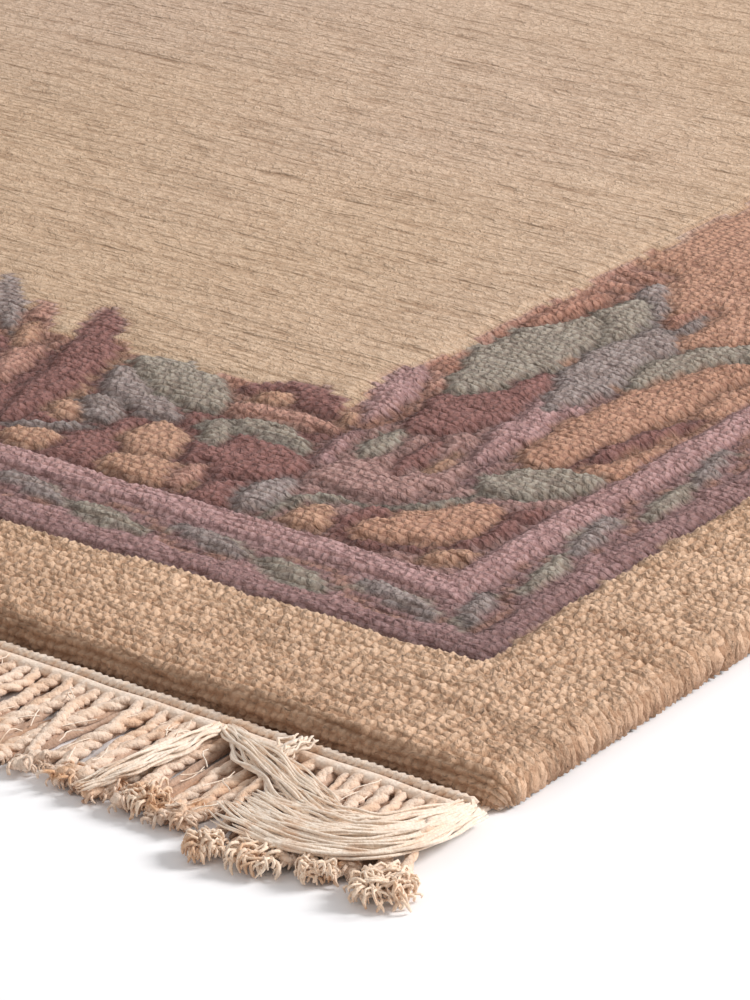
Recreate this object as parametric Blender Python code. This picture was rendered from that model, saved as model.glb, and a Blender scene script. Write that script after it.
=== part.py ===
"""Nepalese runner rug: a hand-knotted, carved wool pile with a cotton end band and fringe.

Metres, +Z up. The rug lies flat. The origin is the middle of its underside, X runs
across the rug (along the wefts) and Y along it (along the warps).
"""
import math

import bmesh
import bpy
from mathutils import Vector

PILE_WIDTH = 0.900
PILE_LENGTH = 3.000
PILE_HEIGHT = 0.0130
EDGE_UNEVEN = 0.0012
TOP_UNEVEN = 0.0004
TOP_RISE = 0.7
CREEP_REACH = 0.100
CORNER_REACH = 0.012
CORNER_BLUNT = 0.0028
STEPS_ACROSS = 12
STEPS_ALONG = 36

LEAF_FOOT_RISE = 0.46
LEAF_TOP_RISE = 0.94
LEAF_STATIONS = 5

BAND_GAP = 0.0003
BAND_INSET = 0.0035
BAND_WIDTH = 0.0110
BAND_LIP_HEIGHT = 0.0028
STRANDS_PER_END = 128
STRAND_WIDTH = 0.0044
FRINGE_LENGTH = 0.0600
FRINGE_UNEVEN = 0.0100
FRINGE_LEAN = 0.0050

LOCK_ROOT_WIDTH = 0.0120
LOCK_INSET = 0.0010
LOCK_CROWN = 0.7

WOOL_COLOUR = (0.58, 0.42, 0.28)
WOOL_ROUGHNESS = 0.95
COTTON_COLOUR = (0.78, 0.66, 0.54)
COTTON_ROUGHNESS = 0.90

# Rings of the pile, from its foot to the field: insets from the long side and from the
# end, and the rise there as a share of the pile's height. Low rows are carved grooves.
RING_COLUMNS = ("name", "side", "end", "rise")
RINGS = (
    ("foot", 0.0030, 0.0000, 0.00),
    ("belly", 0.0000, 0.0000, 0.38),
    ("shoulder", 0.0016, 0.0016, 0.75),
    ("brow", 0.0065, 0.0065, 0.96),
    ("cream crest", 0.0240, 0.0280, 1.00),
    ("cream inner edge", 0.0525, 0.0600, 0.99),
    ("ribbon groove", 0.0550, 0.0625, 0.82),
    ("outer ribbon", 0.0585, 0.0660, 0.91),
    ("outer ribbon inside", 0.0660, 0.0740, 0.91),
    ("channel groove", 0.0690, 0.0770, 0.79),
    ("channel crown", 0.0780, 0.0870, 0.87),
    ("channel inner groove", 0.0870, 0.0980, 0.79),
    ("inner ribbon", 0.0900, 0.1010, 0.91),
    ("inner ribbon inside", 0.0980, 0.1105, 0.91),
    ("leaf band groove", 0.1015, 0.1145, 0.77),
    ("leaf band", 0.1050, 0.1180, 0.85),
    ("leaf band inside", 0.2145, 0.2070, 0.85),
    ("field groove", 0.2180, 0.2110, 0.80),
    ("field", 0.2225, 0.2155, 0.95),
)

# Carved leaves of one quarter of the rug. across and along are the insets of a leaf's
# middle from the long side and from the end; turn is where its tip points, in degrees
# from across towards along.
LEAF_COLUMNS = ("across", "along", "turn", "length", "width")
LEAVES = (
    (0.1870, 0.3030, 80, 0.104, 0.042),
    (0.1510, 0.3120, 74, 0.124, 0.024),
    (0.1190, 0.3120, 92, 0.074, 0.022),
    (0.1730, 0.2270, 92, 0.048, 0.034),
    (0.1240, 0.2320, 88, 0.056, 0.026),
    (0.1210, 0.1860, 96, 0.034, 0.026),
    (0.1760, 0.1880, 84, 0.034, 0.018),
    (0.1360, 0.1410, 128, 0.052, 0.026),
    (0.1780, 0.1340, 60, 0.034, 0.014),
    (0.2140, 0.1720, 18, 0.050, 0.020),
    (0.2120, 0.1340, 6, 0.046, 0.022),
    (0.2540, 0.1480, 66, 0.046, 0.022),
    (0.2760, 0.1900, 8, 0.066, 0.022),
    (0.2840, 0.1320, 28, 0.034, 0.018),
    (0.2870, 0.1620, 12, 0.034, 0.014),
    (0.3240, 0.1700, 106, 0.074, 0.022),
    (0.3620, 0.1470, 40, 0.046, 0.022),
    (0.3680, 0.1850, 64, 0.038, 0.022),
    (0.4120, 0.1340, 10, 0.046, 0.020),
    (0.4140, 0.1740, 112, 0.056, 0.022),
)

# Cross-section of the woven end band, from the pile outwards.
BAND_COLUMNS = ("name", "out", "height")
BAND_PROFILE = (
    ("inner foot", 0.0000, 0.0000),
    ("inner top", 0.0000, 0.0024),
    ("cord line", 0.0028, 0.0034),
    ("valley", 0.0048, 0.0024),
    ("rib", 0.0080, 0.0036),
)

# Sections of a fringe strand: share of its length, base and top widths as shares of the
# strand's width, and height.
STRAND_COLUMNS = ("share", "base", "top", "height")
STRAND_SECTIONS = (
    (0.20, 1.00, 0.64, 0.0040),
    (0.62, 1.00, 0.60, 0.0038),
    (1.00, 0.78, 0.46, 0.0026),
)

# Sections of the loose lock that leaves the corner, rises over the strands beside it
# and lies on them: distance in from the long side, distance out from the pile, width,
# lower and upper face, and heading in degrees from straight out towards the middle.
LOCK_COLUMNS = ("inward", "out", "width", "low", "high", "heading")
LOCK_SECTIONS = (
    (0.0075, 0.0180, 0.0130, 0.0010, 0.0056, 6),
    (0.0110, 0.0310, 0.0180, 0.0048, 0.0088, 30),
    (0.0240, 0.0430, 0.0220, 0.0050, 0.0090, 62),
    (0.0470, 0.0470, 0.0240, 0.0050, 0.0088, 90),
    (0.0710, 0.0400, 0.0210, 0.0050, 0.0082, 108),
    (0.0930, 0.0310, 0.0100, 0.0050, 0.0070, 114),
)


def rows(columns, table):
    """The rows of a table, each as a dictionary by column name."""
    return [dict(zip(columns, row)) for row in table]


def clear_scene():
    for old in list(bpy.data.objects):
        bpy.data.objects.remove(old, do_unlink=True)


def make_material(name, colour, roughness):
    material = bpy.data.materials.new(name)
    material.use_nodes = True
    shader = material.node_tree.nodes["Principled BSDF"]
    shader.inputs["Base Color"].default_value = (*colour, 1.0)
    shader.inputs["Roughness"].default_value = roughness
    shader.inputs["Metallic"].default_value = 0.0
    return material


def add_object(name, bm, material):
    """Closes a bmesh into a named object with outward faces."""
    bmesh.ops.recalc_face_normals(bm, faces=bm.faces)
    mesh = bpy.data.meshes.new(name)
    bm.to_mesh(mesh)
    bm.free()
    obj = bpy.data.objects.new(name, mesh)
    bpy.context.scene.collection.objects.link(obj)
    mesh.materials.append(material)
    return obj


def ripple(position, phase):
    """A slow, irregular wave between 0 and 1 along an edge."""
    wave = math.sin(9.1 * position + phase) + math.sin(21.7 * position + 2.3 * phase)
    return 0.5 + 0.25 * wave


def edge_creep(position, phase):
    """How far the hand-made edge falls back from its straight line."""
    return EDGE_UNEVEN * ripple(position, phase)


def swell(x, y):
    """The slight unevenness of the pile's top."""
    return TOP_UNEVEN * (math.sin(13.0 * x + 4.1 * y) + math.sin(5.3 * y - 7.7 * x))


def ring_corners(side, end):
    """The corners of one ring, from the near left one, anticlockwise from above."""
    half_width = PILE_WIDTH / 2 - side
    half_length = PILE_LENGTH / 2 - end
    return (
        Vector((-half_width, -half_length)),
        Vector((half_width, -half_length)),
        Vector((half_width, half_length)),
        Vector((-half_width, half_length)),
    )


def stations(length, steps):
    """Places along one edge of a ring: its corner, a step close by, then even steps."""
    inner = length - 2 * CORNER_REACH
    return [0.0] + [CORNER_REACH + inner * step / steps for step in range(steps + 1)]


def add_ring(bm, ring):
    """One closed loop of the pile's surface, uneven and blunt-cornered near the rim."""
    corners = ring_corners(ring["side"], ring["end"])
    inward = (Vector((0, 1)), Vector((-1, 0)), Vector((0, -1)), Vector((1, 0)))
    steps = (STEPS_ACROSS, STEPS_ALONG, STEPS_ACROSS, STEPS_ALONG)
    fade = max(0.0, 1.0 - ring["side"] / CREEP_REACH)
    loop = []
    for edge in range(4):
        start = corners[edge]
        run = corners[(edge + 1) % 4] - start
        for place in stations(run.length, steps[edge]):
            spot = start + run.normalized() * place
            position = spot.y if edge % 2 else spot.x
            if place:
                spot = spot + inward[edge] * edge_creep(position, 1.0 + edge) * fade
            else:
                spot = spot + (inward[edge] + inward[edge - 1]) * CORNER_BLUNT * fade ** 3
            height = PILE_HEIGHT * ring["rise"]
            if ring["rise"] > TOP_RISE:
                height += swell(spot.x, spot.y)
            loop.append(bm.verts.new((spot.x, spot.y, height)))
    return loop


def bridge(bm, lower, upper):
    count = len(lower)
    for index in range(count):
        after = (index + 1) % count
        bm.faces.new((lower[index], lower[after], upper[after], upper[index]))


def fill_field(bm, loop):
    """Closes the innermost loop with a grid that follows its uneven edges."""
    across = STEPS_ACROSS + 2
    along = STEPS_ALONG + 2
    near = loop[:across + 1]
    right = loop[across:across + along + 1]
    far = loop[across + along:2 * across + along + 1][::-1]
    left = [loop[0]] + loop[:2 * across + along - 1:-1]
    before = near
    for row in range(1, along + 1):
        if row == along:
            after = far
        else:
            after = [left[row]]
            for column in range(1, across):
                share = (near[column].co.x - near[0].co.x) / (near[-1].co.x - near[0].co.x)
                after.append(bm.verts.new(left[row].co.lerp(right[row].co, share)))
            after.append(right[row])
        for column in range(across):
            corners = (before[column], before[column + 1], after[column + 1], after[column])
            bm.faces.new(corners)
        before = after


def leaf_outline(leaf):
    """Points round a pointed leaf, wider near its foot, about its own middle."""
    upper = []
    lower = []
    for station in range(1, LEAF_STATIONS):
        share = station / LEAF_STATIONS
        half = leaf["width"] / 2 * math.sin(math.pi * share ** 0.8) ** 0.7
        reach = (share - 0.5) * leaf["length"]
        upper.append(Vector((reach, half)))
        lower.append(Vector((reach, -half)))
    foot = Vector((-leaf["length"] / 2, 0))
    tip = Vector((leaf["length"] / 2, 0))
    return [foot] + lower + [tip] + upper[::-1]


def add_leaf(bm, leaf, side_sign, end_sign):
    """A leaf block in one quarter of the rug, its foot sunk into the pile."""
    turn = math.radians(leaf["turn"])
    blade = []
    for point in leaf_outline(leaf):
        across = leaf["across"] + point.x * math.cos(turn) - point.y * math.sin(turn)
        along = leaf["along"] + point.x * math.sin(turn) + point.y * math.cos(turn)
        x = side_sign * (PILE_WIDTH / 2 - across)
        y = end_sign * (PILE_LENGTH / 2 - along)
        blade.append(bm.verts.new((x, y, PILE_HEIGHT * LEAF_FOOT_RISE)))
    foot = bm.faces.new(blade)
    raised = bmesh.ops.extrude_face_region(bm, geom=[foot], use_keep_orig=True)
    top = [item for item in raised["geom"] if isinstance(item, bmesh.types.BMVert)]
    depth = PILE_HEIGHT * (LEAF_TOP_RISE - LEAF_FOOT_RISE)
    bmesh.ops.translate(bm, verts=top, vec=(0, 0, depth))


def make_leaves(material):
    """All carved leaves as blocks to be joined to the pile."""
    bm = bmesh.new()
    for side_sign in (-1, 1):
        for end_sign in (-1, 1):
            for leaf in rows(LEAF_COLUMNS, LEAVES):
                add_leaf(bm, leaf, side_sign, end_sign)
    leaves = add_object("leaf_guide", bm, material)
    leaves.hide_render = True
    leaves.display_type = "WIRE"
    return leaves


def make_pile(material):
    """The one-piece pile carpet: flat below, rounded at its rim, carved on top."""
    bm = bmesh.new()
    loops = [add_ring(bm, ring) for ring in rows(RING_COLUMNS, RINGS)]
    for lower, upper in zip(loops, loops[1:]):
        bridge(bm, lower, upper)
    bm.faces.new(loops[0][::-1])
    fill_field(bm, loops[-1])
    pile = add_object("pile_carpet", bm, material)
    join = pile.modifiers.new("carved_leaves", "BOOLEAN")
    join.operation = "UNION"
    join.object = make_leaves(material)
    return pile


def strand_length(index):
    """Length of a strand from the band's lip, uneven as hand-cut fringe is."""
    short = 0.5 + 0.3 * math.sin(2.4 * index) + 0.2 * math.sin(0.37 * index + 1.0)
    return FRINGE_LENGTH - FRINGE_UNEVEN * short


def strand_lean(x):
    """Sideways drift of a strand's tip, shared by its neighbours and nil at the corners."""
    share = x / (PILE_WIDTH / 2)
    return FRINGE_LEAN * math.sin(17.0 * x + 0.6) * (1 - share ** 4)


def section_points(centre_x, out, base, top, height):
    """A flat-bottomed strand section facing outwards, in the near end's frame."""
    return (
        (centre_x - base / 2, out, 0.0),
        (centre_x + base / 2, out, 0.0),
        (centre_x + top / 2, out, height),
        (centre_x - top / 2, out, height),
    )


def extend(bm, ring, points):
    """Walls from one strand section to the next, whose ring is returned."""
    after = [bm.verts.new(point) for point in points]
    bridge(bm, ring, after)
    return after


def add_strand(bm, root, x, index):
    length = strand_length(index)
    lean = strand_lean(x)
    ring = root
    for section in rows(STRAND_COLUMNS, STRAND_SECTIONS):
        share = section["share"]
        points = section_points(
            x + lean * share ** 1.5,
            BAND_WIDTH + length * share,
            STRAND_WIDTH * section["base"],
            STRAND_WIDTH * section["top"],
            section["height"],
        )
        ring = extend(bm, ring, points)
    bm.faces.new(ring)


def add_lock(bm, root):
    """The loose lock at the near right corner, lying across the strands beside it."""
    ring = root
    for section in rows(LOCK_COLUMNS, LOCK_SECTIONS):
        heading = math.radians(section["heading"])
        reach = Vector((math.cos(heading), math.sin(heading))) * section["width"] / 2
        x = PILE_WIDTH / 2 - section["inward"]
        out = section["out"]
        low, high = section["low"], section["high"]
        points = (
            (x - reach.x, out - reach.y, low),
            (x + reach.x, out + reach.y, low),
            (x + reach.x * LOCK_CROWN, out + reach.y * LOCK_CROWN, high),
            (x - reach.x * LOCK_CROWN, out - reach.y * LOCK_CROWN, high),
        )
        ring = extend(bm, ring, points)
    bm.faces.new(ring)


def strand_slots(has_lock):
    """Middles of the strands' roots along the band, with room left for a corner lock."""
    band_length = PILE_WIDTH - 2 * BAND_INSET
    pitch = band_length / STRANDS_PER_END
    slots = [(index + 0.5) * pitch - band_length / 2 for index in range(STRANDS_PER_END)]
    if has_lock:
        limit = PILE_WIDTH / 2 - BAND_INSET - LOCK_INSET - LOCK_ROOT_WIDTH - pitch / 2
        slots = [x for x in slots if x < limit]
    return slots


def make_end_band(name, material, end_sign, has_lock):
    """The woven band beyond the pile and the fringe strands that grow out of its lip."""
    bm = bmesh.new()
    half = PILE_WIDTH / 2 - BAND_INSET
    profile = rows(BAND_COLUMNS, BAND_PROFILE)
    left = [bm.verts.new((-half, row["out"], row["height"])) for row in profile]
    right = [bm.verts.new((half, row["out"], row["height"])) for row in profile]
    for index in range(len(profile) - 1):
        bm.faces.new((left[index], right[index], right[index + 1], left[index + 1]))

    roots = [(x, STRAND_WIDTH) for x in strand_slots(has_lock)]
    if has_lock:
        roots.append((half - LOCK_ROOT_WIDTH / 2 - LOCK_INSET, LOCK_ROOT_WIDTH))
    lip = [-half]
    for x, width in roots:
        lip += [x - width / 2, x + width / 2]
    lip.append(half)
    low = [bm.verts.new((x, BAND_WIDTH, 0.0)) for x in lip]
    high = [bm.verts.new((x, BAND_WIDTH, BAND_LIP_HEIGHT)) for x in lip]

    bm.faces.new([left[-1], right[-1]] + high[::-1])
    bm.faces.new([left[0], right[0]] + low[::-1])
    bm.faces.new(left + [high[0], low[0]])
    bm.faces.new(right + [high[-1], low[-1]])
    for index in range(0, len(lip), 2):
        bm.faces.new((low[index], low[index + 1], high[index + 1], high[index]))

    for index, (x, width) in enumerate(roots):
        first = 2 * index + 1
        root = [low[first], low[first + 1], high[first + 1], high[first]]
        if width == STRAND_WIDTH:
            add_strand(bm, root, x, index)
        else:
            add_lock(bm, root)

    for vert in bm.verts:
        vert.co.y = end_sign * (PILE_LENGTH / 2 + BAND_GAP + vert.co.y)
    return add_object(name, bm, material)


def main():
    clear_scene()
    wool = make_material("wool_pile", WOOL_COLOUR, WOOL_ROUGHNESS)
    cotton = make_material("cotton_fringe", COTTON_COLOUR, COTTON_ROUGHNESS)
    make_pile(wool)
    make_end_band("end_band_near", cotton, -1, True)
    make_end_band("end_band_far", cotton, 1, False)


main()
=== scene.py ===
from math import radians, sin, cos, pi

import bmesh
import bpy
import numpy as np
from mathutils import Matrix, Vector


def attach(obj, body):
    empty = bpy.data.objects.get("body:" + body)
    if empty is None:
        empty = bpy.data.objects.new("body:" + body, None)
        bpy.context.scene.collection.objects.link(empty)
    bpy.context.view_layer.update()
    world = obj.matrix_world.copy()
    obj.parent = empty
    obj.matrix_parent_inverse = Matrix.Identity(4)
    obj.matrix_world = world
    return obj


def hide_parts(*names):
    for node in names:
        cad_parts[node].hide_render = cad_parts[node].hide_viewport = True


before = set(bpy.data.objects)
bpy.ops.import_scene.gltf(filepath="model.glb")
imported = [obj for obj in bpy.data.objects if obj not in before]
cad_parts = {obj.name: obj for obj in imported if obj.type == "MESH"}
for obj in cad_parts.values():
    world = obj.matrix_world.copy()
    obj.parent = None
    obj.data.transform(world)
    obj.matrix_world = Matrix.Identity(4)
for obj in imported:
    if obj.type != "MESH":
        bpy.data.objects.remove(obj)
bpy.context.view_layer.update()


def addObject(name, data):
    made = bpy.data.objects.new(name, data)
    bpy.context.collection.objects.link(made)
    return made


# camera: the photograph's low view over the near right corner
cameraAt = dict(place=(1.0892, -2.4301, 0.5820), turn=36.4, tilt=23.05, lens=154.8, sensor=36, nearest=0.01)


def addCamera():
    turn, tilt = radians(cameraAt["turn"]), radians(cameraAt["tilt"])
    ahead = Vector((-sin(turn) * cos(tilt), cos(turn) * cos(tilt), -sin(tilt)))
    side = Vector((cos(turn), sin(turn), 0))
    data = bpy.data.cameras.new("photoCamera")
    data.sensor_fit = "VERTICAL"
    data.sensor_height = cameraAt["sensor"]
    data.lens = cameraAt["lens"]
    data.clip_start = cameraAt["nearest"]
    camera = addObject("photoCamera", data)
    axes = Matrix((side, side.cross(ahead), -ahead)).transposed().to_4x4()
    camera.matrix_world = Matrix.Translation(cameraAt["place"]) @ axes
    bpy.context.scene.camera = camera


addCamera()


# dyed wools and cottons, as they look in daylight (red, green, blue out of 255)
yarns = dict(
    cream=(245, 211, 181),
    sand=(225, 203, 187),
    plum=(200, 164, 163),
    plumDark=(186, 151, 150),
    mauve=(190, 155, 149),
    aubergine=(160, 119, 114),
    sage=(179, 171, 159),
    slate=(175, 163, 160),
    peach=(208, 165, 142),
    tan=(210, 170, 146),
    rose=(204, 161, 146),
    rust=(200, 154, 136),
    moss=(192, 178, 166),
    cotton=(239, 216, 196),
    cottonBand=(246, 227, 209),
    cottonPale=(255, 238, 219),
    # the ends beneath the cords, darker with painted shade
    cottonUnderShaded=(198, 166, 144),
    cottonHead=(255, 232, 208),
    stain=(206, 150, 98),
)


def dye(name):
    return [((c / 255 + 0.055) / 1.055) ** 2.4 for c in yarns[name]] + [1.0]


# small helpers for shader nodes
def addNode(tree, kind, inputs=None, **settings):
    made = tree.nodes.new("ShaderNode" + kind)
    for key, value in settings.items():
        setattr(made, key, value)
    for key, value in (inputs or {}).items():
        if isinstance(value, bpy.types.NodeSocket):
            tree.links.new(value, made.inputs[key])
        else:
            made.inputs[key].default_value = value
    return made


def mathOf(tree, kind, a, b):
    return addNode(tree, "Math", {0: a, 1: b}, operation=kind).outputs[0]


def vectorOf(tree, kind, a, b):
    second = "Scale" if kind == "SCALE" else 1
    return addNode(tree, "VectorMath", {0: a, second: b}, operation=kind).outputs[0]


def joined(tree, x, y, z):
    return addNode(tree, "CombineXYZ", {0: x, 1: y, 2: z}).outputs[0]


def noiseOf(tree, place, scale, detail=2.0, flat=False, out=0, **more):
    given = {"Vector": place, "Scale": scale, "Detail": detail, **more}
    return addNode(tree, "TexNoise", given, noise_dimensions="2D" if flat else "3D").outputs[out]


def ramp(tree, value, low, high, toLow=0.0, toHigh=1.0, kind="SMOOTHSTEP"):
    given = {"Value": value, "From Min": low, "From Max": high, "To Min": toLow, "To Max": toHigh}
    return addNode(tree, "MapRange", given, interpolation_type=kind).outputs[0]


def mixColour(tree, factor, a, b, kind="MIX"):
    return addNode(tree, "Mix", {0: factor, 6: a, 7: b}, data_type="RGBA", blend_type=kind).outputs[2]


def newGroup(name, inputs, outputs):
    # every socket of these groups is a single value
    tree = bpy.data.node_groups.new(name, "ShaderNodeTree")
    for label, value in inputs.items():
        made = tree.interface.new_socket(label, in_out="INPUT", socket_type="NodeSocketFloat")
        made.default_value = value
    for label in outputs:
        tree.interface.new_socket(label, in_out="OUTPUT", socket_type="NodeSocketFloat")
    return tree, tree.nodes.new("NodeGroupInput").outputs, tree.nodes.new("NodeGroupOutput").inputs


def tuftGroup():
    # fluffy yarn ends: their height, the painted shade between them, the dashes where rows part, each end's tint
    tree, given, out = newGroup(
        "tuftEnds", dict(Grain=1.0, Across=0.7, Wander=0.8, Loose=1.0, Round=0.8, Fluff=1.0, Dash=0.3),
        ("Height", "GapShade", "Row", "Tint"))
    knots = addNode(tree, "UVMap", uv_map="knots").outputs[0]
    place = vectorOf(tree, "MULTIPLY", knots, joined(tree, given["Across"], given["Grain"], 1.0))
    # a cell's point lies half its looseness past a whole number, a modelled end half way between two
    centre = addNode(tree, "Math", {0: given["Loose"], 1: 0.5, 2: -0.5},
                     operation="MULTIPLY_ADD").outputs[0]
    place = vectorOf(tree, "ADD", place, joined(tree, centre, centre, 0.0))
    blur = noiseOf(tree, place, 1.5, 1.5, flat=True, out="Color")
    shift = vectorOf(tree, "SUBTRACT", blur, (0.5, 0.5, 0.5))
    shift = vectorOf(tree, "SCALE", shift, given["Wander"])
    moved = vectorOf(tree, "ADD", place, shift)
    cells = addNode(tree, "TexVoronoi",
                    {"Vector": moved, "Scale": 1.0, "Smoothness": 0.35, "Randomness": given["Loose"]},
                    voronoi_dimensions="2D", feature="SMOOTH_F1")
    knob = ramp(tree, cells.outputs["Distance"], 0.05, 0.66, 1.0, 0.0)
    knob = mathOf(tree, "MULTIPLY", knob, given["Round"])
    fluff = noiseOf(tree, moved, 3.0, flat=True, Roughness=0.55)
    fluff = ramp(tree, fluff, 0.2, 0.8, -0.25, 0.35, "LINEAR")
    fluff = mathOf(tree, "MULTIPLY", fluff, given["Fluff"])
    height = mathOf(tree, "ADD", knob, fluff)
    tree.links.new(height, out["Height"])
    tree.links.new(ramp(tree, height, -0.04, 0.50, 1.0, 0.0), out["GapShade"])
    # rows of knots part here and there; the material lowers these dashes and paints shade into them
    dashes = vectorOf(tree, "MULTIPLY", knots, joined(tree, given["Dash"], 0.85, 1.0))
    dashes = vectorOf(tree, "ADD", dashes, vectorOf(tree, "SCALE", shift, 0.35))
    dashes = noiseOf(tree, dashes, 1.0, flat=True)
    tree.links.new(ramp(tree, dashes, 0.54, 0.76), out["Row"])
    tint = addNode(tree, "SeparateColor", {0: cells.outputs["Color"]}).outputs[0]
    tree.links.new(tint, out["Tint"])
    return tree


def weftGroup():
    # the rows of knots that show as short lines across the carpet, lowered and darkened with painted shade, and
    # the slow change of dye along it
    tree, given, out = newGroup("weftRows", dict(Length=17.0, Rows=125.0), ("Line", "Dye", "Warm"))
    place = addNode(tree, "TexCoord").outputs["Object"]
    rows = vectorOf(tree, "MULTIPLY", place, joined(tree, given["Length"], given["Rows"], 0.0))
    streak = noiseOf(tree, rows, 1.0, flat=True, Roughness=0.5, Distortion=0.9)
    tree.links.new(ramp(tree, streak, 0.50, 0.70), out["Line"])
    slow = addNode(tree, "Mapping", {"Vector": place, "Scale": (2.2, 26.0, 0.0)}).outputs[0]
    slow = noiseOf(tree, slow, 1.0, 3.0, flat=True)
    tree.links.new(ramp(tree, slow, 0.3, 0.7, kind="LINEAR"), out["Dye"])
    cloud = ramp(tree, noiseOf(tree, place, 2.6), 0.3, 0.7, -0.35, 0.35, "LINEAR")
    along = addNode(tree, "SeparateXYZ", {0: place}).outputs[1]
    along = mathOf(tree, "ADD", mathOf(tree, "ABSOLUTE", along, 0.0), cloud)
    tree.links.new(ramp(tree, along, 0.1, 1.3), out["Warm"])
    return tree


def fibreGroup():
    # single hairs: a fine uneven height and a fine mottling
    tree, given, out = newGroup("fibres", dict(Scale=1500.0), ("Height", "Mottle"))
    place = addNode(tree, "TexCoord").outputs["Object"]
    fine = noiseOf(tree, place, given["Scale"], Roughness=0.6)
    tree.links.new(fine, out["Height"])
    tree.links.new(ramp(tree, fine, 0.38, 0.62, kind="LINEAR"), out["Mottle"])
    return tree


tuftNodes, weftNodes, fibreNodes = tuftGroup(), weftGroup(), fibreGroup()


def useGroup(tree, group, **values):
    made = tree.nodes.new("ShaderNodeGroup")
    made.node_tree = group
    for key, value in values.items():
        made.inputs[key].default_value = value
    return made.outputs


def newMaterial(name, roughness, sheen, specular):
    material = bpy.data.materials.new(name)
    material.use_nodes = True
    tree = material.node_tree
    shader = tree.nodes["Principled BSDF"]
    shader.inputs["Roughness"].default_value = roughness
    shader.inputs["Sheen Weight"].default_value = sheen
    shader.inputs["Sheen Roughness"].default_value = 0.6
    shader.inputs["Specular IOR Level"].default_value = specular
    return material, tree, shader


def bumpFrom(tree, height, distance, strength, under=None):
    given = {"Height": height, "Distance": distance, "Strength": strength}
    if under:
        given["Normal"] = under
    return addNode(tree, "Bump", given).outputs[0]


# three ways the wool is cut: the bold border, the sheared band, the streaky field; each also says how much painted
# shade goes into the gaps between ends, the parted rows and the weft lines, and in what colour
woolCuts = dict(
    borderWool=dict(ends=dict(Grain=1.0, Across=1.0, Wander=0.36, Loose=0.60, Round=0.85, Fluff=0.50, Dash=0.18),
                    gapShade=0.46, rowShade=0.32, tint=0.30, mottle=0.22, line=0.0, lineLift=0.0, dyed=0.30,
                    warm=0.0, lift=0.0016, rowLift=0.4, hair=0.0005, paintedShade=(0.40, 0.28, 0.19, 1)),
    carvedWool=dict(ends=dict(Grain=1.0, Across=1.0, Wander=0.42, Loose=0.70, Round=0.78, Fluff=0.60, Dash=0.24),
                    gapShade=0.44, rowShade=0.28, tint=0.20, mottle=0.22, line=0.0, lineLift=0.0, dyed=0.14,
                    warm=0.0, lift=0.0015, rowLift=0.5, hair=0.0004, paintedShade=(0.38, 0.28, 0.29, 1)),
    fieldWool=dict(ends=dict(Grain=1.0, Across=0.70, Wander=0.8, Loose=0.9, Round=0.45, Fluff=1.20, Dash=0.12),
                   gapShade=0.34, rowShade=0.34, tint=0.08, mottle=0.20, line=0.14, lineLift=0.84, dyed=0.10,
                   warm=1.0, lift=0.0009, rowLift=0.9, hair=0.0004, paintedShade=(0.42, 0.30, 0.20, 1)),
)
woolShades = dict(faded=(0.55, 0.44, 0.36, 1), warm=(0.99, 0.935, 0.80, 1), hair=(0.50, 0.40, 0.34, 1))


def woolMaterial(name, cut):
    material, tree, shader = newMaterial(name, 0.95, 0.06, 0.08)
    tufts = useGroup(tree, tuftNodes, **cut["ends"])
    weft = useGroup(tree, weftNodes)
    fibres = useGroup(tree, fibreNodes, Scale=1150.0)
    colour = addNode(tree, "Attribute", attribute_name="wool").outputs["Color"]
    # dye, tint and fibre tones first, then painted shade in the weft lines, the gaps between ends and the parted
    # rows
    for mask, amount, shade in (
        (tufts["Tint"], cut["tint"], woolShades["faded"]),
        (weft["Dye"], cut["dyed"], woolShades["faded"]),
        (weft["Warm"], cut["warm"], woolShades["warm"]),
        (fibres["Mottle"], cut["mottle"], woolShades["hair"]),
        (weft["Line"], cut["line"], cut["paintedShade"]),
        (tufts["GapShade"], cut["gapShade"], cut["paintedShade"]),
        (tufts["Row"], cut["rowShade"], cut["paintedShade"]),
    ):
        colour = mixColour(tree, mathOf(tree, "MULTIPLY", mask, amount), colour, shade, "MULTIPLY")
    tree.links.new(colour, shader.inputs["Base Color"])
    rows = mathOf(tree, "MULTIPLY", tufts["Row"], -cut["rowLift"])
    rows = mathOf(tree, "ADD", rows, mathOf(tree, "MULTIPLY", weft["Line"], -cut["lineLift"]))
    high = mathOf(tree, "ADD", tufts["Height"], rows)
    coarse = bumpFrom(tree, high, cut["lift"], 0.8)
    fine = bumpFrom(tree, fibres["Height"], cut["hair"], 0.7, coarse)
    tree.links.new(fine, shader.inputs["Normal"])
    return material


woolMaterials = [woolMaterial(name, cut) for name, cut in woolCuts.items()]
print("wool materials ready")


# the pile: a knot grid laid over the carpet that rolls down over its rim
carpet = dict(width=0.900, length=3.000, pile=0.0130, columns=287, rows=944, pitch=0.0032,
              rimRadius=0.009, rimArc=0.018, rimRise=0.0049, rimTurn=2.12, rimSplay=0.7,
              rowBump=0.00012, lowest=0.0007, tuckDepth=0.0026, tuckLowest=0.0004)
halfWidth, halfLength = carpet["width"] / 2, carpet["length"] / 2

# the sheared rings: tenths of a millimetre in from the side and from the end, and per cent of the pile
rings = np.array((
    (0, 0, 100), (240, 280, 100), (535, 610, 100), (560, 635, 82), (600, 675, 94), (680, 760, 93),
    (700, 785, 89), (725, 810, 92), (835, 945, 92), (860, 970, 88), (880, 990, 95), (995, 1115, 95),
    (1020, 1145, 80), (1060, 1180, 85), (2120, 2050, 85), (2150, 2080, 86), (2230, 2160, 94), (4500, 15000, 96),
)) / (10000, 10000, 100)

# which place in that table each part of the pattern starts at
ringAt = dict(ribbon=3.0, channel=6.0, channelEnd=9.0, leafBand=12.0, field=15.2)

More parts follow.
